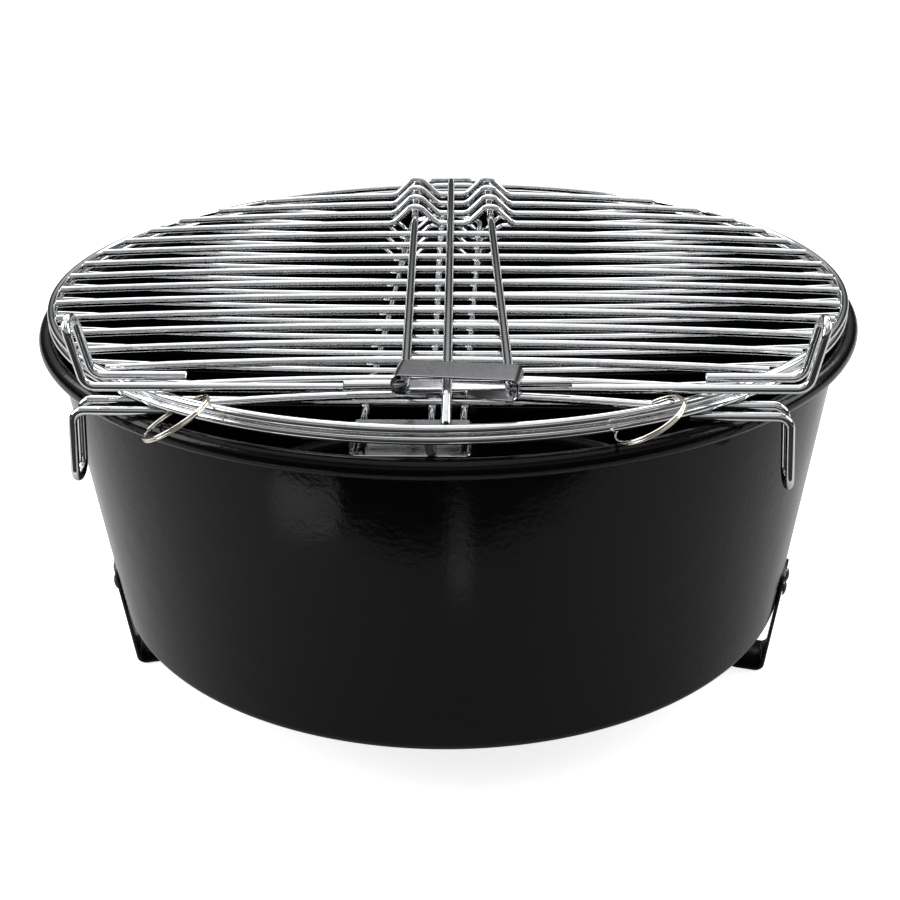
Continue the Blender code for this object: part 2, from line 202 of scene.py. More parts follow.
# ---- lights: name, place, what it points at, width, height and power in watts ----
LIGHTS = (
    ("back_panel", (-0.12, 1.00, 1.27), (0.0, 0.0, 0.20), 2.8, 0.80, 22.0),
    ("top_softbox", (-0.08, -0.10, 1.6), (0.0, 0.0, 0.15), 2.0, 1.6, 9.0),
    ("left_softbox", (-1.5, -0.3, 0.9), (0.0, 0.0, 0.15), 0.9, 0.9, 14.0),
    ("right_softbox", (1.5, 0.1, 0.9), (0.0, 0.0, 0.15), 0.9, 0.9, 10.0),
    ("left_glint", (-0.165, -0.300, 0.004), (-0.10, -0.18, 0.12), 0.09, 0.05, 0.015),
    ("middle_glint", (0.024, -0.300, 0.004), (0.02, -0.19, 0.12), 0.024, 0.08, 0.004),
)
FLAG_X = (-1.6, 1.6)
FLAG_Y = (-3.0, -0.325)
FLAG_HEIGHT = 0.001

# ---- camera: turn in degrees, pitch and roll in radians, lens in millimetres, the rest in metres ----
CAMERA_TURN = 2.7
CAMERA_PITCH = 0.4331
CAMERA_ROLL = -0.0139
CAMERA_PLACE = (0.0, -0.67743, 0.40796)
CAMERA_LENS = 58.55
CAMERA_SENSOR = 36.0
CAMERA_NEAR = 0.01
CAMERA_FAR = 50.0

# ---- the grid's own frame, tilted a little on the rim ----
GRID = Matrix.Translation((0.0, GRID_CENTRE_Y, GRID_CENTRE_Z)) @ Matrix.Rotation(GRID_TILT, 4, "X")


# ---- materials ----
def new_material(name, colour, metallic, roughness):
    material = bpy.data.materials.new(name)
    material.use_nodes = True
    shader = material.node_tree.nodes["Principled BSDF"]
    shader.inputs["Base Color"].default_value = (*colour, 1.0)
    shader.inputs["Metallic"].default_value = metallic
    shader.inputs["Roughness"].default_value = roughness
    return material, material.node_tree.nodes, material.node_tree.links, shader


def noise(nodes, links, coords, scale, detail=2.0, rough=0.5, stretch=(1, 1, 1)):
    """Noise in object coordinates, so that it keeps its size on every piece."""
    mapping = nodes.new("ShaderNodeMapping")
    mapping.inputs["Scale"].default_value = stretch
    links.new(coords.outputs["Object"], mapping.inputs["Vector"])
    texture = nodes.new("ShaderNodeTexNoise")
    texture.inputs["Scale"].default_value = scale
    texture.inputs["Detail"].default_value = detail
    texture.inputs["Roughness"].default_value = rough
    links.new(mapping.outputs["Vector"], texture.inputs["Vector"])
    return texture.outputs["Fac"]


def ramp(nodes, links, value, low, high, out_low, out_high):
    """The value from low to high, stretched to run from out_low to out_high."""
    node = nodes.new("ShaderNodeMapRange")
    node.inputs["From Min"].default_value = low
    node.inputs["From Max"].default_value = high
    node.inputs["To Min"].default_value = out_low
    node.inputs["To Max"].default_value = out_high
    links.new(value, node.inputs["Value"])
    return node.outputs["Result"]


def bump(nodes, links, height, strength, distance, normal=None):
    node = nodes.new("ShaderNodeBump")
    node.inputs["Strength"].default_value = strength
    node.inputs["Distance"].default_value = distance
    links.new(height, node.inputs["Height"])
    if normal:
        links.new(normal, node.inputs["Normal"])
    return node.outputs["Normal"]


def tinted(nodes, links, value, first, second):
    """The first colour where the value is 0, the second where it is 1."""
    node = nodes.new("ShaderNodeMix")
    node.data_type = "RGBA"
    node.inputs["A"].default_value = (*first, 1.0)
    node.inputs["B"].default_value = (*second, 1.0)
    links.new(value, node.inputs["Factor"])
    return node.outputs["Result"]


def enamel_material():
    """Fired black enamel: glossy, with orange peel, fine grain and faint clouding."""
    material, nodes, links, shader = new_material("black_enamel", (0.01, 0.01, 0.011), 0.0, 0.16)
    coords = nodes.new("ShaderNodeTexCoord")
    waves = noise(nodes, links, coords, scale=34, detail=3.0, rough=0.55)
    peel = noise(nodes, links, coords, scale=420, detail=2.0, rough=0.5)
    grain = noise(nodes, links, coords, scale=1700, detail=2.0, rough=0.6)
    clouds = noise(nodes, links, coords, scale=16, detail=4.0, rough=0.6)
    normal = bump(nodes, links, waves, strength=0.14, distance=0.002)
    normal = bump(nodes, links, peel, strength=0.14, distance=0.0005, normal=normal)
    normal = bump(nodes, links, grain, strength=0.08, distance=0.0002, normal=normal)
    links.new(normal, shader.inputs["Normal"])
    gloss = ramp(nodes, links, clouds, low=0.35, high=0.7, out_low=0.10, out_high=0.20)
    links.new(gloss, shader.inputs["Roughness"])
    colour = tinted(nodes, links, clouds, (0.0008, 0.0008, 0.0009), (0.0022, 0.0022, 0.0023))
    links.new(colour, shader.inputs["Base Color"])
    shader.inputs["Specular IOR Level"].default_value = 0.17
    return material


def chrome_material(name, tint, dull, roughness, drawn=(1, 1, 1)):
    """Plated wire or sheet: mirror bright, with fine drawing marks and duller patches."""
    material, nodes, links, shader = new_material(name, tint, 1.0, roughness)
    coords = nodes.new("ShaderNodeTexCoord")
    lines = noise(nodes, links, coords, scale=900, detail=3.0, rough=0.6, stretch=drawn)
    patches = noise(nodes, links, coords, scale=55, detail=4.0, rough=0.65)
    specks = noise(nodes, links, coords, scale=480, detail=2.0, rough=0.7)
    normal = bump(nodes, links, lines, strength=0.03, distance=0.0001)
    normal = bump(nodes, links, patches, strength=0.04, distance=0.0004, normal=normal)
    links.new(normal, shader.inputs["Normal"])
    gloss = ramp(nodes, links, patches, low=0.4, high=0.75, out_low=roughness, out_high=roughness + 0.05)
    links.new(gloss, shader.inputs["Roughness"])
    dullness = ramp(nodes, links, specks, low=0.55, high=0.8, out_low=0.0, out_high=1.0)
    colour = tinted(nodes, links, dullness, tint, dull)
    links.new(colour, shader.inputs["Base Color"])
    return material


def painted_material(name, colour, roughness, metallic=0.0):
    """Black paint: slightly uneven, lighter and rougher in patches."""
    material, nodes, links, shader = new_material(name, colour, metallic, roughness)
    coords = nodes.new("ShaderNodeTexCoord")
    peel = noise(nodes, links, coords, scale=500, detail=2.0, rough=0.5)
    clouds = noise(nodes, links, coords, scale=60, detail=4.0, rough=0.6)
    links.new(bump(nodes, links, peel, strength=0.10, distance=0.0004), shader.inputs["Normal"])
    shader.inputs["Specular IOR Level"].default_value = 0.3
    smooth, rough = roughness * 0.8, roughness * 1.3
    gloss = ramp(nodes, links, clouds, low=0.35, high=0.7, out_low=smooth, out_high=rough)
    links.new(gloss, shader.inputs["Roughness"])
    colour = tinted(nodes, links, clouds, colour, tuple(c * 1.8 for c in colour))
    links.new(colour, shader.inputs["Base Color"])
    return material


MATERIALS = {
    "black_enamel": enamel_material(),
    "leg_black": painted_material("leg_black", (0.010, 0.010, 0.0105), 0.22),
    "rivet_black": painted_material("rivet_black", (0.018, 0.018, 0.019), 0.28, 0.3),
    "chrome_wire": chrome_material(
        "chrome_wire", (0.76, 0.77, 0.78), (0.60, 0.61, 0.63), 0.05, (0.15, 1, 1)
    ),
    "sleeve_chrome": chrome_material(
        "sleeve_chrome", (0.38, 0.385, 0.40), (0.26, 0.265, 0.275), 0.14, (0.12, 1, 1)
    ),
    "nickel_ring": chrome_material("nickel_ring", (0.86, 0.81, 0.72), (0.62, 0.58, 0.50), 0.06),
}


# ---- shapes ----
def adopt(obj, node):
    """Links a finished piece, gives it its finish and lets it stand for a CAD node."""
    if obj.name not in bpy.context.scene.collection.objects:
        bpy.context.scene.collection.objects.link(obj)
    slot = NODE_SLOT[node]
    obj.data.materials.clear()
    obj.data.materials.append(MATERIALS[slot])
    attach(obj, BODY_OF[node])
    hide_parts(node)


def mesh_object(name, bm, sharp=40):
    """An object from a bmesh, smooth but for edges sharper than the given degrees."""
    bmesh.ops.recalc_face_normals(bm, faces=bm.faces)
    mesh = bpy.data.meshes.new(name)
    bm.to_mesh(mesh)
    bm.free()
    mesh.shade_smooth()
    mesh.set_sharp_from_angle(angle=math.radians(sharp))
    return bpy.data.objects.new(name, mesh)


def swept(name, points, radius, closed=False, sides=WIRE_SIDES, chamfer=WIRE_CHAMFER):
    """A round wire along points as a mesh, its cut ends slightly chamfered."""
    points = [Vector(p) for p in points]
    count = len(points)
    tangents = []
    for i, point in enumerate(points):
        if closed:
            along = points[(i + 1) % count] - points[i - 1]
        else:
            along = points[min(i + 1, count - 1)] - points[max(i - 1, 0)]
        tangents.append(along.normalized())
    across = tangents[0].orthogonal().normalized()
    if abs(tangents[0].z) < NEARLY_UPRIGHT:
        across = Vector((0, 0, 1)).cross(tangents[0]).normalized()
    stations = []
    for point, tangent in zip(points, tangents):
        across = (across - tangent * across.dot(tangent)).normalized()
        stations.append((point, across.copy(), tangent.cross(across), tangent))
    bm = bmesh.new()

    def row(centre, first, second, size):
        verts = []
        for side in range(sides):
            angle = 2 * math.pi * side / sides
            outward = first * math.cos(angle) + second * math.sin(angle)
            verts.append(bm.verts.new(centre + outward * size))
        return verts

    rows = []
    for i, (point, first, second, tangent) in enumerate(stations):
        if not closed and i == 0:
            rows.append(row(point, first, second, radius - chamfer))
            rows.append(row(point + tangent * chamfer, first, second, radius))
        elif not closed and i == count - 1:
            rows.append(row(point - tangent * chamfer, first, second, radius))
            rows.append(row(point, first, second, radius - chamfer))
        else:
            rows.append(row(point, first, second, radius))
    for lower, upper in zip(rows, rows[1:]):
        for i in range(sides):
            j = (i + 1) % sides
            bm.faces.new((lower[i], lower[j], upper[j], upper[i]))
    if closed:
        best = min(range(sides), key=lambda k: (rows[0][k].co - rows[-1][0].co).length)
        for i in range(sides):
            j = (i + 1) % sides
            first, second = rows[0][(i + best) % sides], rows[0][(j + best) % sides]
            bm.faces.new((rows[-1][i], rows[-1][j], second, first))
    else:
        bm.faces.new(list(reversed(rows[0])))
        bm.faces.new(rows[-1])
    return mesh_object(name, bm)


def bent(corners, radius, steps=BEND_STEPS):
    """The corners joined by straight runs, with each inner corner rounded to radius."""
    path = [Vector(corners[0])]
    for before, corner, after in zip(corners, corners[1:], corners[2:]):
        corner = Vector(corner)
        to_before = (Vector(before) - corner).normalized()
        to_after = (Vector(after) - corner).normalized()
        half_angle = to_before.angle(to_after) / 2
        if half_angle > math.pi / 2 - NEARLY_STRAIGHT:
            path.append(corner)
            continue
        reach = radius / math.tan(half_angle)
        centre = corner + (to_before + to_after).normalized() * (radius / math.sin(half_angle))
        start = corner + to_before * reach - centre
        axis = to_after.cross(to_before)
        for step in range(steps + 1):
            turn = (math.pi - 2 * half_angle) * step / steps
            path.append(centre + Matrix.Rotation(turn, 3, axis) @ start)
    path.append(Vector(corners[-1]))
    return path


def arc(centre, radius, start, end, steps):
    """Points on an arc in a plane, from start to end in degrees."""
    points = []
    for step in range(steps + 1):
        angle = math.radians(start + (end - start) * step / steps)
        points.append((centre[0] + radius * math.cos(angle), centre[1] + radius * math.sin(angle)))
    return points


def turned(profile, steps):
    """The solid swept by a (radius, height) outline that starts and ends on the Z axis."""
    bm = bmesh.new()
    rows = []
    for step in range(steps):
        angle = 2 * math.pi * step / steps
        c, s = math.cos(angle), math.sin(angle)
        rows.append([bm.verts.new((r * c, r * s, z)) for r, z in profile])
    for row, following in zip(rows, rows[1:] + rows[:1]):
        for i in range(len(profile) - 1):
            if profile[i][0] == 0.0:
                bm.faces.new((row[i], row[i + 1], following[i + 1]))
            elif profile[i + 1][0] == 0.0:
                bm.faces.new((row[i], row[i + 1], following[i]))
            else:
                bm.faces.new((row[i], row[i + 1], following[i + 1], following[i]))
    bmesh.ops.remove_doubles(bm, verts=bm.verts, dist=WELD_DISTANCE)
    return bm


def wall_radius(height):
    """The outside radius of the bowl's straight wall at a height."""
    top = (ROLL_CENTRE - ROLL_RADIUS + SHEET, RIM_TOP - ROLL_RADIUS)
    low = (BASE_RADIUS, BOWL_BASE + CORNER_RADIUS)
    return low[0] + (top[0] - low[0]) * (height - low[1]) / (top[1] - low[1])


def lines_between(first, last, steps):
    """The points that divide a straight run, without its two ends."""
    return [
        (first[0] + (last[0] - first[0]) * k / steps, first[1] + (last[1] - first[1]) * k / steps)
        for k in range(1, steps)
    ]


def make_bowl():
    """Pressed sheet bowl: flat base, rounded corner, tapered wall and a rolled rim, as one outline."""
    roll = (ROLL_CENTRE, RIM_TOP - ROLL_RADIUS)
    corner = (BASE_RADIUS - CORNER_RADIUS, BOWL_BASE + CORNER_RADIUS)
    inner_wall_top = (ROLL_CENTRE - ROLL_RADIUS, roll[1])
    outside = arc(corner, CORNER_RADIUS, -90, WALL_FOOT_ANGLE, CORNER_STEPS)
    curl = arc(roll, ROLL_RADIUS - SHEET, 180, CURL_END_ANGLE, CURL_STEPS)
    back = arc(roll, ROLL_RADIUS, CURL_END_ANGLE, 180, ROLL_STEPS)
    inside = arc(corner, CORNER_RADIUS - SHEET, WALL_FOOT_ANGLE, -90, CORNER_STEPS)
    profile = [(radius, BOWL_BASE) for radius in BASE_POINTS]
    profile += outside + lines_between(outside[-1], curl[0], WALL_STEPS) + curl + back
    profile += lines_between(inner_wall_top, inside[0], WALL_STEPS) + inside
    profile += [(radius, BOWL_BASE + SHEET) for radius in reversed(BASE_POINTS)]
    adopt(mesh_object("bowl_shell", turned(profile, TURN_STEPS)), "fire_bowl")


def leg_frame(azimuth):
    return Matrix.Rotation(math.radians(azimuth - 90), 4, "Z")


def make_leg(side, azimuth):
    """A sheet strip with rounded corners, bevelled edges and a foot turned inwards."""
    out = LEG_SHEET / 2 + GAP
    top = (wall_radius(LEG_TOP) * FLAT + out, 0.0, LEG_TOP)
    heel = (wall_radius(LEG_SHEET / 2) * FLAT + out, 0.0, LEG_SHEET / 2)
    toe = (heel[0] - FOOT_LENGTH, 0.0, LEG_SHEET / 2)
    path = bent([top, heel, toe], FOOT_BEND)
    fine = []
    for first, second in zip(path, path[1:]):
        steps = max(1, int((second - first).length / LEG_STEP))
        fine += [first.lerp(second, k / steps) for k in range(steps)]
    fine.append(path[-1])
    lengths = [0.0]
    for first, second in zip(fine, fine[1:]):
        lengths.append(lengths[-1] + (second - first).length)
    bm = bmesh.new()
    rows = []
    for i, point in enumerate(fine):
        ahead = fine[min(i + 1, len(fine) - 1)] - fine[max(i - 1, 0)]
        normal = Vector((ahead.z, 0.0, -ahead.x)).normalized()
        near_end = min(lengths[i], lengths[-1] - lengths[i])
        half = LEG_WIDTH / 2
        if near_end < LEG_CORNER:
            half -= LEG_CORNER - math.sqrt(max(LEG_CORNER ** 2 - (LEG_CORNER - near_end) ** 2, 0.0))
        h, e = LEG_SHEET / 2, LEG_EDGE
        ring = [(h, -half + e), (h, half - e), (h - e, half), (-h + e, half)]
        ring += [(-h, half - e), (-h, -half + e), (-h + e, -half), (h - e, -half)]
        rows.append([bm.verts.new(point + normal * n + Vector((0, w, 0))) for n, w in ring])
    bm.faces.new(rows[0])
    bm.faces.new(list(reversed(rows[-1])))
    for row, following in zip(rows, rows[1:]):
        for i in range(len(row)):
            j = (i + 1) % len(row)
            bm.faces.new((row[i], following[i], following[j], row[j]))
    leg = mesh_object(f"leg_strip_{side}", bm, 50)
    leg.matrix_world = leg_frame(azimuth)
    adopt(leg, f"leg_{side}")


def make_rivet(side, label, azimuth, across):
    """A rivet through the leg and the wall, square to the wall, with a dome at each end."""
    widening = wall_radius(RIVET_HEIGHT + RIVET_SLOPE_SPAN) - wall_radius(RIVET_HEIGHT)
    slope = math.atan2(widening * FLAT, RIVET_SLOPE_SPAN)
    seat = Matrix.Translation((wall_radius(RIVET_HEIGHT) * FLAT, across, RIVET_HEIGHT))
    outer = LEG_SHEET + 2 * GAP
    inner = -SHEET - GAP
    angles = [math.radians(k * 90 / DOME_STEPS) for k in range(DOME_STEPS + 1)]
    dome = [(RIVET_HEAD_RADIUS * math.sin(a), RIVET_HEAD_HEIGHT * math.cos(a)) for a in angles]
    profile = [(radius, inner - height) for radius, height in dome]
    profile += [(RIVET_SHANK_RADIUS, inner), (RIVET_SHANK_RADIUS, outer)]
    profile += [(radius, outer + height) for radius, height in reversed(dome)]
    rivet = mesh_object(f"rivet_dome_{side}_{label}", turned(profile, RIVET_STEPS))
    rivet.matrix_world = leg_frame(azimuth) @ seat @ Matrix.Rotation(math.pi / 2 + slope, 4, "Y")
    adopt(rivet, f"rivet_{side}_{label}")


def sheared_x(place_x, yaw, y):
    """Where a line through (place_x, 0), turned by yaw degrees, lies at y."""
    return place_x - math.tan(math.radians(yaw)) * y


def in_grid(points):
    """Points of the grid's own frame, put in their place on the rim."""
    return [GRID @ Vector(p) for p in points]


def ring_points(side):
    points = []
    for step in range(RING_STEPS):
        angle = 2 * math.pi * step / RING_STEPS
        points.append((RING_RADIUS * math.cos(angle), RING_RADIUS * math.sin(angle), side * RING_LEVEL))
    return points


def bar_points(half, number):
    """A cross bar, bowed up in its middle; the rearmost ones loop over the handle's two legs."""
    y = BAR_FIRST_Y - BAR_PITCH * number
    if number == BAR_COUNT - 1:
        y = BAR_LAST_Y
    inside = RING_RADIUS - RING_WIRE * BAR_IN_RING
    end = math.sqrt(inside ** 2 - (abs(y) + BAR_WIRE * BAR_IN_BAR) ** 2)
    rise = BAR_MID_LEVEL - BAR_END_LEVEL

    def level(x):
        return BAR_MID_LEVEL - rise * (x / end) ** 2

    def run(first, last):
        steps = max(2, int(abs(last - first) / BAR_STEP))
        return [first + (last - first) * k / steps for k in range(steps + 1)]

    if number >= LOOP_BARS:
        return [(x, y, half["side"] * level(x)) for x in run(-end, end)]
    middle = sheared_x(half["handle_x"], half["handle_yaw"], y)
    legs = (middle - HANDLE_HALF_WIDTH, middle + HANDLE_HALF_WIDTH)
    points = [(x, y, level(x)) for x in run(-end, legs[0] - LOOP_HALF_FOOT - LOOP_RUN_STOP)]
    for leg_x in legs:
        corners = [
            (leg_x - LOOP_HALF_FOOT - LOOP_LEAD, y, level(leg_x - LOOP_HALF_FOOT - LOOP_LEAD)),
            (leg_x - LOOP_HALF_FOOT, y, level(leg_x - LOOP_HALF_FOOT)),
            (leg_x - LOOP_HALF_TOP, y, LOOP_LEVEL),
            (leg_x + LOOP_HALF_TOP, y, LOOP_LEVEL),
            (leg_x + LOOP_HALF_FOOT, y, level(leg_x + LOOP_HALF_FOOT)),
            (leg_x + LOOP_HALF_FOOT + LOOP_LEAD, y, level(leg_x + LOOP_HALF_FOOT + LOOP_LEAD)),
        ]
        points += [tuple(p) for p in bent(corners, LOOP_BEND)]
    points += [(x, y, level(x)) for x in run(legs[1] + LOOP_HALF_FOOT + LOOP_RUN_STOP, end)]
    return [(x, y, half["side"] * z) for x, y, z in points]


def stand_points(half):
    """A long wire between two hairpins, with two short ends, all in one bent wire."""
    front, back = half["stand_front"], half["stand_back"]
    half_length, lean = half["stand_half"], half["stand_lean"]
    top = STAND_LEVEL + half["stand_height"]
    right = [
        (half_length, front, STAND_LEVEL),
        (half_length + lean, front, top),
        (half_length + lean, back, top),
        (half_length, back, STAND_LEVEL),
        (half["stand_cut"], back, STAND_LEVEL),
    ]
    left = [(-x, y, z) for x, y, z in reversed(right)]
    middle = Vector((0.0, (front + back) / 2, 0.0))
    turn = Matrix.Rotation(math.radians(half["stand_yaw"]), 3, "Z")
    shift = Vector((half["stand_x"], 0.0, 0.0))
    points = []
    for point in bent(left + right, STAND_BEND, STAND_BEND_STEPS):
        point = turn @ (point - middle) + middle + shift
        points.append((point.x, point.y, half["side"] * point.z))
    return points


def handle_frame(half):
    shift = Matrix.Translation((half["handle_x"], 0.0, 0.0))
    return shift @ Matrix.Rotation(math.radians(half["handle_yaw"]), 4, "Z")


def handle_points(half):
    """The U-shaped handle: arched at the rear, its two front ends turned out through the sleeve."""
    level = half["side"] * HANDLE_LEVEL
    front = half["sleeve_y"]
    stub = SLEEVE_WIDTH / 2 + STUB_REACH
    left_end = bent(
        [(-stub, front, level), (-HANDLE_HALF_WIDTH, front, level), (-HANDLE_HALF_WIDTH, 0.0, level)],
        HANDLE_BEND,
    )
    arch = bent(
        [
            (-HANDLE_HALF_WIDTH, 0.0, level),
            (-HANDLE_HALF_WIDTH, HANDLE_ARCH_Y, level),
            (HANDLE_HALF_WIDTH, HANDLE_ARCH_Y, level),
            (HANDLE_HALF_WIDTH, 0.0, level),
        ],
        HANDLE_ARCH_BEND, ARCH_BEND_STEPS,
    )
    right_end = [Vector((-p.x, p.y, p.z)) for p in reversed(left_end)]
    path = left_end + arch[1:-1] + right_end
    return [handle_frame(half) @ p for p in path]


def rod_points(half):
    """The centre rod, turned in at its front end to stop just short of the ring."""
    side = half["side"]
    rear = (sheared_x(half["rod_x"], half["rod_yaw"], ROD_REAR_Y), ROD_REAR_Y, side * HANDLE_LEVEL)
    bend_x = sheared_x(half["rod_x"], half["rod_yaw"], ROD_BEND_Y)
    bend = Vector((bend_x, ROD_BEND_Y, side * HANDLE_LEVEL))
    target = Vector((bend_x, -math.sqrt(RING_RADIUS ** 2 - bend_x ** 2), side * RING_LEVEL))
    reach = (target - bend).normalized() * (RING_WIRE + GAP)
    return bent([rear, bend, target - reach], ROD_BEND)


def rounded_box(width, height, radius):
    outline = []
    for sign_x, sign_z, start in ((1, 1, 0), (-1, 1, 90), (-1, -1, 180), (1, -1, 270)):
        centre = (sign_x * (width / 2 - radius), sign_z * (height / 2 - radius))
        outline += arc(centre, radius, start, start + 90, SLEEVE_CORNER_STEPS)
    return outline


def hidden_bar(name, radius, length, matrix):
    """A closed round bar about the Z axis of matrix, used only to cut."""
    profile = [(0.0, -length / 2), (radius, -length / 2), (radius, length / 2), (0.0, length / 2)]
    bar = mesh_object(name, turned(profile, CUTTER_STEPS))
    bar.matrix_world = matrix
    bpy.context.scene.collection.objects.link(bar)
    return bar


def make_sleeve(name, node, half):
    """Flat sheet tube: rolled edges, side holes for the stubs and a notch in its lower front lip."""
    outer = rounded_box(SLEEVE_WIDTH, SLEEVE_HEIGHT, SLEEVE_EDGE_RADIUS)
    inner = rounded_box(
        SLEEVE_WIDTH - 2 * SLEEVE_SHEET,
        SLEEVE_HEIGHT - 2 * SLEEVE_SHEET,
        SLEEVE_EDGE_RADIUS - SLEEVE_SHEET,
    )
    depth = SLEEVE_DEPTH / 2
    inset = depth - SLEEVE_EDGE
    share = SLEEVE_EDGE / SLEEVE_SHEET
    bm = bmesh.new()

    def toward_inner(amount):
        return [
            (a[0] + (b[0] - a[0]) * amount, a[1] + (b[1] - a[1]) * amount)
            for a, b in zip(outer, inner)
        ]

    sections = [
        (outer, -inset),
        (outer, 0.0),
        (outer, inset),
        (toward_inner(share), depth),
        (toward_inner(1 - share), depth),
        (inner, inset),
        (inner, 0.0),
        (inner, -inset),
        (toward_inner(1 - share), -depth),
        (toward_inner(share), -depth),
    ]
    loops = [[bm.verts.new((x, y, z)) for x, z in outline] for outline, y in sections]
    for loop, following in zip(loops, loops[1:] + loops[:1]):
        for i in range(len(loop)):
            j = (i + 1) % len(loop)
            bm.faces.new((loop[i], loop[j], following[j], following[i]))
    bmesh.ops.remove_doubles(bm, verts=bm.verts, dist=FINE_WELD_DISTANCE)
    sleeve = mesh_object(name, bm, 35)
    bpy.context.scene.collection.objects.link(sleeve)
    side = half["side"]
    level = side * (SLEEVE_BOTTOM + SLEEVE_HEIGHT / 2)
    centre = Matrix.Translation((0.0, half["sleeve_y"], level))
    turn = Matrix.Rotation(math.radians(SLEEVE_TURN if side > 0 else 0.0), 4, "Z")
    sleeve.matrix_world = GRID @ handle_frame(half) @ centre @ turn
    stub_line = Matrix.Translation((0.0, half["sleeve_y"], side * HANDLE_LEVEL))
    stub_line = GRID @ handle_frame(half) @ stub_line @ Matrix.Rotation(math.pi / 2, 4, "Y")
    lip = sleeve.matrix_world @ Matrix.Translation((0.0, -depth, -side * (SLEEVE_HEIGHT / 2)))
    cutters = [
        hidden_bar(f"{name}_stub_cut", HANDLE_WIRE + STUB_HOLE_ROOM, STUB_HOLE_LENGTH, stub_line),
        hidden_bar(f"{name}_notch_cut", NOTCH_RADIUS, NOTCH_CUT_LENGTH, lip),
    ]
    for cutter in cutters:
        modifier = sleeve.modifiers.new(cutter.name, "BOOLEAN")
        modifier.operation = "DIFFERENCE"
        modifier.solver = "EXACT"
        modifier.object = cutter
    bpy.context.view_layer.update()
    graph = bpy.context.evaluated_depsgraph_get()
    cut_mesh = bpy.data.meshes.new_from_object(sleeve.evaluated_get(graph))
    sleeve.modifiers.clear()
    sleeve.data = cut_mesh
    for cutter in cutters:
        bpy.data.objects.remove(cutter, do_unlink=True)
    adopt(sleeve, node)


def make_half(name, half):
    side = half["side"]
    ring = swept(f"{name}_grid_ring", in_grid(ring_points(side)), RING_WIRE, True)
    adopt(ring, f"{name}_ring")
    for number in range(half["bars"]):
        wire = in_grid(bar_points(half, number))
        bar = swept(f"{name}_grid_bar_{number + 1:02d}", wire, BAR_WIRE)
        adopt(bar, f"{name}_bar_{number + 1:02d}")
    adopt(swept(f"{name}_stand_wire", in_grid(stand_points(half)), STAND_WIRE), f"{name}_stand")
    adopt(swept(f"{name}_centre_rod", in_grid(rod_points(half)), HANDLE_WIRE), f"{name}_rod")
    adopt(swept(f"{name}_handle_wire", in_grid(handle_points(half)), HANDLE_WIRE), f"{name}_handle")
    make_sleeve(f"{name}_sheet_sleeve", f"{name}_sleeve", half)


def make_split_ring(side, ring):
    """Nearly two turns of round spring wire side by side, which cross over half way."""
    points = []
    coil = SPLIT_WIRE / 2
    for step in range(SPLIT_STEPS + 1):
        turns = SPLIT_TURNS * step / SPLIT_STEPS
        angle = 2 * math.pi * turns
        drift = coil * math.tanh((turns - SPLIT_TURNS / 2) * SPLIT_CROSSING)
        points.append((SPLIT_RADIUS * math.cos(angle), SPLIT_RADIUS * math.sin(angle), drift))
    wire = coil * SPLIT_COIL_FILL
    coil_piece = swept(f"split_coil_{side}", points, wire, False, SPLIT_SIDES, SPLIT_CHAMFER)
    axis_turn = Matrix.Rotation(math.radians(ring["azimuth"]), 4, "Z")
    axis_rise = Matrix.Rotation(math.radians(90 - ring["rise"]), 4, "Y")
    coil_piece.matrix_world = Matrix.Translation(ring["centre"]) @ axis_turn @ axis_rise
    adopt(coil_piece, f"split_ring_{side}")


make_bowl()
for leg_side, leg_azimuth in LEG_AZIMUTHS.items():
    make_leg(leg_side, leg_azimuth)
    make_rivet(leg_side, "a", leg_azimuth, -RIVET_SIDE)
    make_rivet(leg_side, "b", leg_azimuth, RIVET_SIDE)
for half_name, half_sizes in HALVES.items():
    make_half(half_name, half_sizes)
for ring_side, ring_place in SPLIT_RINGS.items():
    make_split_ring(ring_side, ring_place)


# ---- floor, light and camera ----
def make_floor():
    """A floor that looks white to the camera and a little darker in reflections."""
    bm = bmesh.new()
    bmesh.ops.create_grid(bm, x_segments=FLOOR_CELLS, y_segments=FLOOR_CELLS, size=FLOOR_HALF)
    floor = mesh_object("studio_floor", bm)
    floor.location.z = -FLOOR_DROP
    material, nodes, links, shader = new_material("floor_white", FLOOR_WHITE, 0.0, 0.6)
    shader.inputs["Specular IOR Level"].default_value = 0.1
    path = nodes.new("ShaderNodeLightPath")
    lift = nodes.new("ShaderNodeMath")
    lift.operation = "MULTIPLY"
    lift.inputs[1].default_value = FLOOR_GLOW
    links.new(path.outputs["Is Camera Ray"], lift.inputs[0])
    shader.inputs["Emission Color"].default_value = (1.0, 1.0, 1.0, 1.0)
    links.new(lift.outputs["Value"], shader.inputs["Emission Strength"])
    seen = tinted(nodes, links, path.outputs["Is Glossy Ray"], FLOOR_WHITE, FLOOR_IN_REFLECTIONS)
    links.new(seen, shader.inputs["Base Color"])
    floor.data.materials.append(material)
    bpy.context.scene.collection.objects.link(floor)


def make_flag(name):
    """A dark card that only reflections see, as the dark side of the studio."""
    bm = bmesh.new()
    left, right = FLAG_X
    front, rear = FLAG_Y
    corners = [(left, front), (right, front), (right, rear), (left, rear)]
    bm.faces.new([bm.verts.new((x, y, FLAG_HEIGHT)) for x, y in corners])
    flag = mesh_object(name, bm)
    flag.data.materials.append(new_material(f"{name}_black", FLAG_BLACK, 0.0, 0.9)[0])
    bpy.context.scene.collection.objects.link(flag)
    flag.visible_camera = False
    flag.visible_diffuse = False
    flag.visible_shadow = False
    flag.visible_transmission = False


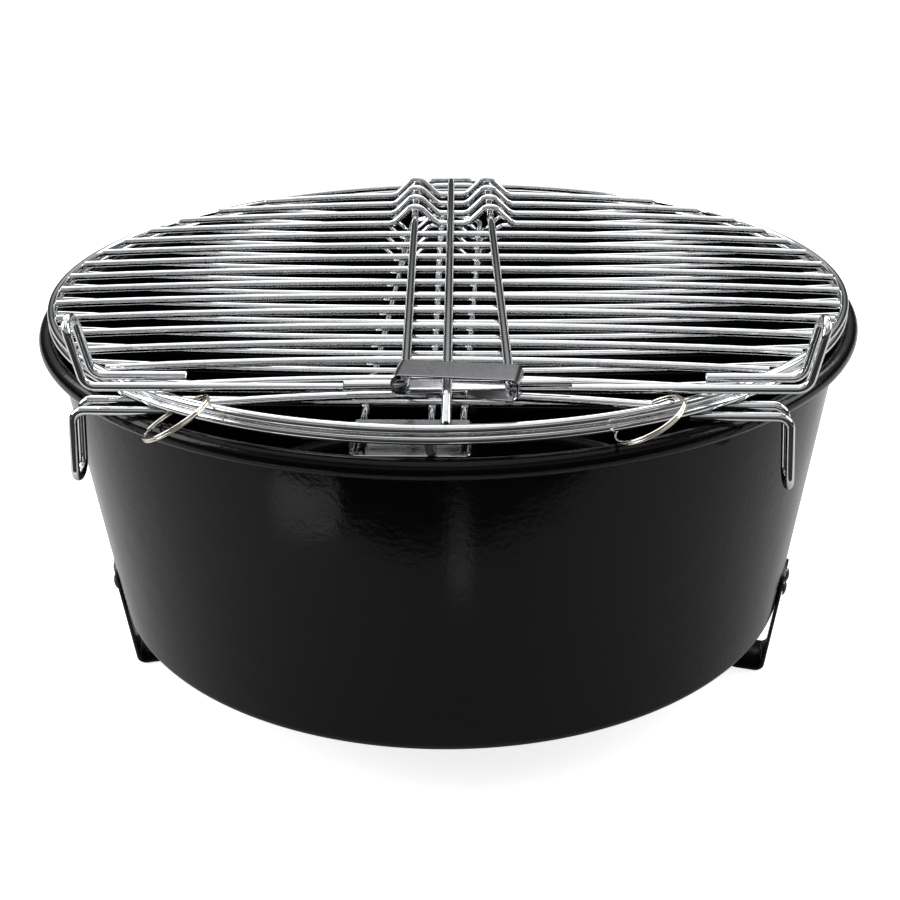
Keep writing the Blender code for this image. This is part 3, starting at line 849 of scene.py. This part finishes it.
def area_light(name, location, target, width, height, power):
    """A rectangular lamp that the camera doesn't see."""
    data = bpy.data.lights.new(name, "AREA")
    data.energy = power
    data.shape = "RECTANGLE"
    data.size = width
    data.size_y = height
    light = bpy.data.objects.new(name, data)
    light.location = location
    aim = Vector(target) - Vector(location)
    light.rotation_mode = "QUATERNION"
    light.rotation_quaternion = aim.to_track_quat("-Z", "Y")
    light.visible_camera = False
    bpy.context.scene.collection.objects.link(light)


def make_world():
    """White behind the object, and grey bands from below to above in reflections and light."""
    world = bpy.data.worlds.new("studio")
    bpy.context.scene.world = world
    world.use_nodes = True
    nodes, links = world.node_tree.nodes, world.node_tree.links
    background = nodes["Background"]
    coords = nodes.new("ShaderNodeTexCoord")
    split = nodes.new("ShaderNodeSeparateXYZ")
    links.new(coords.outputs["Generated"], split.inputs["Vector"])
    sky = nodes.new("ShaderNodeValToRGB")
    for band, (position, grey) in zip(sky.color_ramp.elements, (SKY_BOTTOM, SKY_TOP)):
        band.position = position
        band.color = (grey, grey, grey, 1.0)
    for position, grey in SKY_BANDS:
        sky.color_ramp.elements.new(position).color = (grey, grey, grey, 1.0)
    links.new(split.outputs["Z"], sky.inputs["Fac"])
    path = nodes.new("ShaderNodeLightPath")
    mix = nodes.new("ShaderNodeMix")
    mix.data_type = "RGBA"
    mix.inputs["B"].default_value = (1.0, 1.0, 1.0, 1.0)
    links.new(path.outputs["Is Camera Ray"], mix.inputs["Factor"])
    links.new(sky.outputs["Color"], mix.inputs["A"])
    links.new(mix.outputs["Result"], background.inputs["Color"])
    background.inputs["Strength"].default_value = 1.0


def make_camera():
    """Camera of the reference view: the object stands turned a little clockwise to it."""
    turn = Matrix.Rotation(math.radians(CAMERA_TURN), 3, "Z")
    forward = turn @ Vector((0.0, math.cos(CAMERA_PITCH), -math.sin(CAMERA_PITCH)))
    right = turn @ Vector((1.0, 0.0, 0.0))
    up = right.cross(forward)
    rolled_right = right * math.cos(CAMERA_ROLL) + up * math.sin(CAMERA_ROLL)
    rolled_up = up * math.cos(CAMERA_ROLL) - right * math.sin(CAMERA_ROLL)
    data = bpy.data.cameras.new("camera")
    data.sensor_width = CAMERA_SENSOR
    data.lens = CAMERA_LENS
    data.clip_start = CAMERA_NEAR
    data.clip_end = CAMERA_FAR
    camera = bpy.data.objects.new("camera", data)
    bpy.context.scene.collection.objects.link(camera)
    basis = Matrix((rolled_right, rolled_up, -forward)).transposed().to_4x4()
    camera.matrix_world = Matrix.Translation(turn @ Vector(CAMERA_PLACE)) @ basis
    bpy.context.scene.camera = camera


make_floor()
make_flag("front_flag")
for light_name, place, aim_point, light_width, light_height, watts in LIGHTS:
    area_light(light_name, place, aim_point, light_width, light_height, watts)
make_world()
make_camera()
bpy.context.scene.view_settings.view_transform = "Standard"
bpy.context.scene.view_settings.look = "None"
